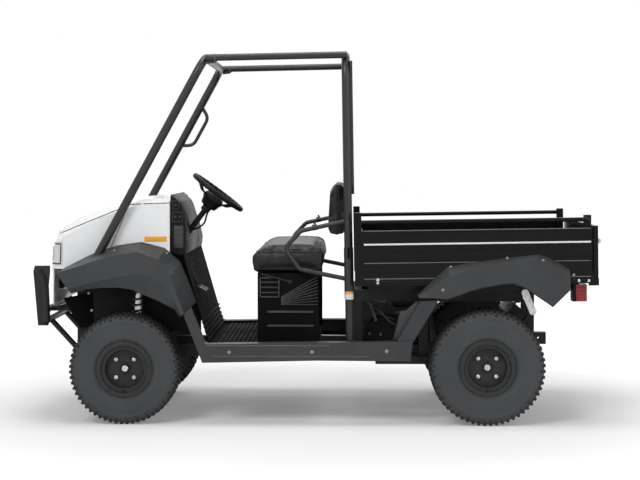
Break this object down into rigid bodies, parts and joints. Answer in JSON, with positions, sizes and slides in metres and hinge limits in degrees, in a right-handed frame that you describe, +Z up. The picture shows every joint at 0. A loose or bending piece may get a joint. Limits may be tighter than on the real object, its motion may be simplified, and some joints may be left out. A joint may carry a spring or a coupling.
{
  "type": "side by side utility vehicle",
  "caption": "Two-seat side by side utility vehicle with a tubular cage, bench seat, lifting hood and a tipping cargo bed with a drop tailgate.",
  "frame": {"origin": "on the floor under the middle of the vehicle's length and width", "axes": "+X forward, +Y to the vehicle's left, +Z up"},
  "size_m": [2.9627, 1.48, 1.928],
  "materials": {
    "frame_paint": "satin black paint",
    "guard_paint": "satin dark grey powder coat",
    "cage_paint": "satin dark grey powder coat",
    "white_body": "smooth gloss white",
    "grey_plastic": "satin charcoal, fine grain",
    "black_plastic": "matt black, fine grain",
    "bed_paint": "gloss black paint",
    "seat_vinyl": "black vinyl",
    "rim_paint": "satin black steel",
    "tyre_rubber": "dark grey rubber",
    "bright_steel": "zinc plated steel",
    "cast_metal": "dull cast metal",
    "headlamp_lens": "clear lens over a silver bowl",
    "tail_lamp_lens": "red lens"
  },
  "bodies": {
    "chassis": {"main_frame": "frame_paint", "rear_frame": "frame_paint", "front_frame": "frame_paint", "hitch_receiver": "frame_paint", "front_guard": "guard_paint", "rack_housing": "frame_paint", "front_lower_arms": "frame_paint", "rear_axle": "frame_paint", "leaf_springs": "frame_paint", "spring_shackles": "bright_steel", "engine": "cast_metal", "belt_cover": "black_plastic", "muffler": "frame_paint", "radiator": "cast_metal", "front_face": "white_body", "side_panels": "white_body", "grille": "black_plastic", "headlamps": "headlamp_lens", "front_fender_left": "grey_plastic", "front_fender_right": "grey_plastic", "sill_left": "grey_plastic", "sill_right": "grey_plastic", "rear_leg_covers": "grey_plastic", "mud_flaps": "black_plastic", "floor_pan": "black_plastic", "toe_board": "black_plastic", "dash": "black_plastic", "steering_column": "black_plastic", "seat_base": "black_plastic", "seat_cushion": "seat_vinyl", "seat_back_left": "seat_vinyl", "seat_back_right": "seat_vinyl", "cage_front": "cage_paint", "cage_rear": "cage_paint", "rear_screen": "cage_paint", "hip_guards": "cage_paint", "grab_handle": "cage_paint"},
    "hood": {"hood": "white_body"},
    "bed": {"bed_tub": "bed_paint", "bed_rails": "bed_paint", "rear_fender_left": "grey_plastic", "rear_fender_right": "grey_plastic", "tail_lamps": "tail_lamp_lens", "tail_lamp_brackets": "black_plastic"},
    "tailgate": {"tailgate": "bed_paint"},
    "steering_wheel": {"steering_wheel": "black_plastic"},
    "rack": {"tie_rods": "bright_steel"},
    "knuckle_left": {"knuckle_left": "bright_steel", "strut_spring_left": "bright_steel"},
    "knuckle_right": {"knuckle_right": "bright_steel", "strut_spring_right": "bright_steel"},
    "wheel_front_left": {"tyre_front_left": "tyre_rubber", "rim_front_left": "rim_paint"},
    "wheel_front_right": {"tyre_front_right": "tyre_rubber", "rim_front_right": "rim_paint"},
    "wheel_rear_left": {"tyre_rear_left": "tyre_rubber", "rim_rear_left": "rim_paint"},
    "wheel_rear_right": {"tyre_rear_right": "tyre_rubber", "rim_rear_right": "rim_paint"}
  },
  "joints": [
    {"name": "steer_left", "type": "hinge", "parent": "chassis", "child": "knuckle_left", "pos_m": [0.95, 0.47, 0.205], "axis": [-0.0638, -0.1495, 0.9867], "range_deg": [-28, 28]},
    {"name": "steer_right", "type": "hinge", "parent": "chassis", "child": "knuckle_right", "pos_m": [0.95, -0.47, 0.205], "axis": [-0.0638, 0.1495, 0.9867], "range_deg": [-28, 28]},
    {"name": "steering_wheel_turn", "type": "hinge", "parent": "chassis", "child": "steering_wheel", "pos_m": [0.51, 0.3, 1.189], "axis": [-0.5995, 0, 0.8004], "range_deg": [-450, 450]},
    {"name": "rack_slide", "type": "slide", "parent": "chassis", "child": "rack", "axis": [0, 1, 0], "range_m": [-0.072, 0.072]},
    {"name": "wheel_front_left_spin", "type": "hinge", "parent": "knuckle_left", "child": "wheel_front_left", "pos_m": [0.97, 0.58, 0.284], "axis": [0, 1, 0], "continuous": true},
    {"name": "wheel_front_right_spin", "type": "hinge", "parent": "knuckle_right", "child": "wheel_front_right", "pos_m": [0.97, -0.58, 0.284], "axis": [0, 1, 0], "continuous": true},
    {"name": "wheel_rear_left_spin", "type": "hinge", "parent": "chassis", "child": "wheel_rear_left", "pos_m": [-0.9, 0.59, 0.296], "axis": [0, 1, 0], "continuous": true},
    {"name": "wheel_rear_right_spin", "type": "hinge", "parent": "chassis", "child": "wheel_rear_right", "pos_m": [-0.9, -0.59, 0.296], "axis": [0, 1, 0], "continuous": true},
    {"name": "bed_tilt", "type": "hinge", "parent": "chassis", "child": "bed", "pos_m": [-1.146, 0, 0.698], "axis": [0, -1, 0], "range_deg": [0, 48]},
    {"name": "tailgate_drop", "type": "hinge", "parent": "bed", "child": "tailgate", "pos_m": [-1.46147, 0, 0.73657], "axis": [0, -1, 0], "range_deg": [0, 90]},
    {"name": "hood_lift", "type": "hinge", "parent": "chassis", "child": "hood", "pos_m": [1.37, 0, 0.972], "axis": [0, 1, 0], "range_deg": [0, 60]}
  ],
  "couplings": [
    {"joint": "steer_right", "follows": "steer_left", "ratio": 1},
    {"joint": "steering_wheel_turn", "follows": "steer_left", "ratio": 16},
    {"joint": "rack_slide", "follows": "steer_left", "m_per_rad": -0.141}
  ]
}
